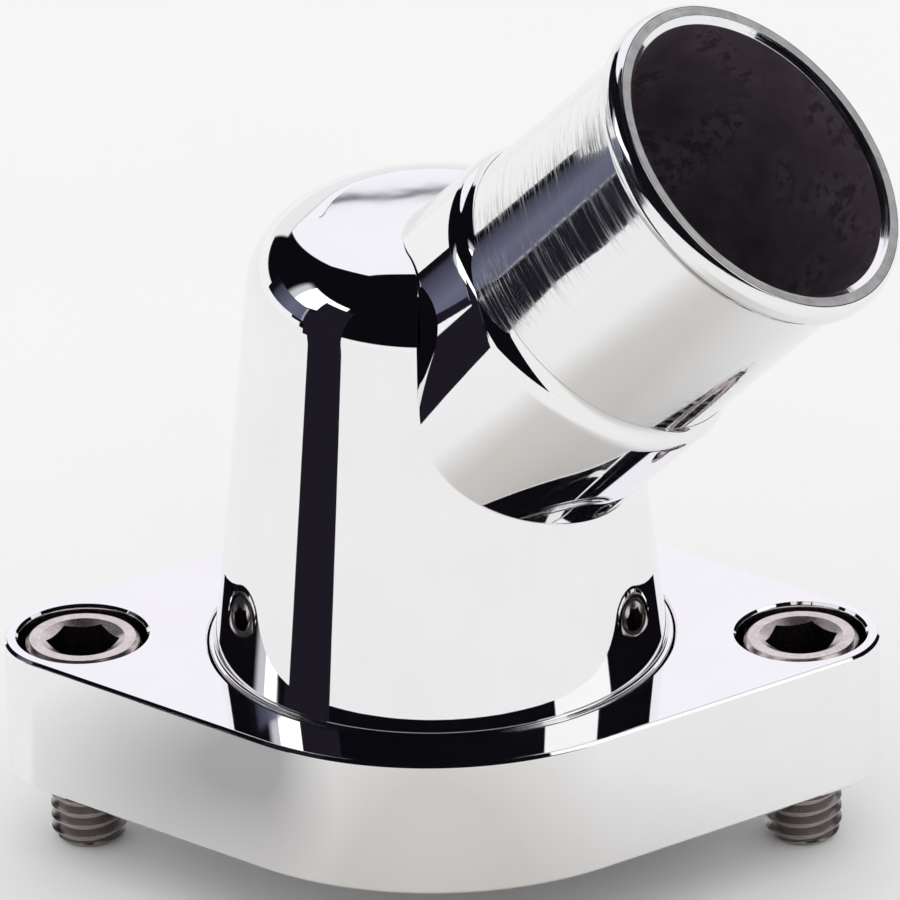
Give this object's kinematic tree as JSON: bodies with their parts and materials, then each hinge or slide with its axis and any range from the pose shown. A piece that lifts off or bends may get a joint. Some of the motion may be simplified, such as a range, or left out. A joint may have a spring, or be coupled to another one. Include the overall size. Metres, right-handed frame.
{
  "type": "swivel thermostat housing",
  "caption": "Polished aluminium coolant outlet with a bolted flange and an upright that swivels and carries a 45 degree hose neck.",
  "frame": {"origin": "centre of the mounting face, on the swivel axis", "axes": "+Z away from the mounting face along the swivel axis, X through the two bolts, the neck points towards +X and -Y at rest"},
  "size_m": [0.1115, 0.0764, 0.1166],
  "materials": {
    "polished_aluminium": "mirror polished",
    "tube_aluminium": "polished, turned",
    "screw_steel": "plain steel",
    "ring_steel": "spring steel",
    "seal_rubber": "matte",
    "bearing_plastic": "natural acetal"
  },
  "bodies": {
    "base": {"flange": "polished_aluminium", "cap_screws": "screw_steel", "face_oring": "seal_rubber"},
    "neck": {"swivel_body": "polished_aluminium", "hose_tube": "tube_aluminium", "upper_oring": "seal_rubber", "lower_oring": "seal_rubber", "thrust_washer": "bearing_plastic", "backing_washer": "ring_steel", "retaining_ring": "ring_steel"}
  },
  "joints": [
    {"name": "neck_swivel", "type": "hinge", "parent": "base", "child": "neck", "pos_m": [0, 0, 0.01], "axis": [0, 0, 1], "continuous": true}
  ]
}
